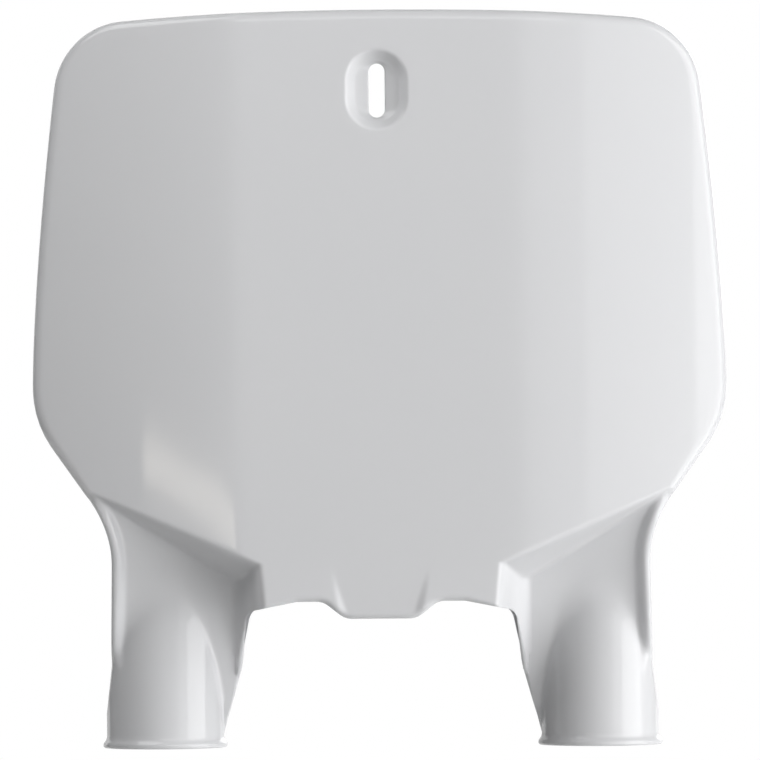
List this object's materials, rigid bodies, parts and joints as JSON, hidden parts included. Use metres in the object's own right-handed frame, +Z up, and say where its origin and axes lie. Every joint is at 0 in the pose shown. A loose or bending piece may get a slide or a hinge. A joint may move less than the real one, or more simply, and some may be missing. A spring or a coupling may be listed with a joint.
{
  "type": "motorcycle front number board",
  "caption": "Thin moulded racing number board with a turned-back rim, a dished bolt slot at the top and half-round sleeves at its foot that sit on the fork tubes.",
  "frame": {"origin": "midway between the axes of the fork sleeves, level with their lower ends", "axes": "+Z up along the fork tubes, +X across the board, -Y towards the front"},
  "size_m": [0.2846, 0.0564, 0.3004],
  "materials": {
    "board_plastic": "gloss"
  },
  "bodies": {
    "root": {"number_board": "board_plastic"}
  },
  "joints": []
}
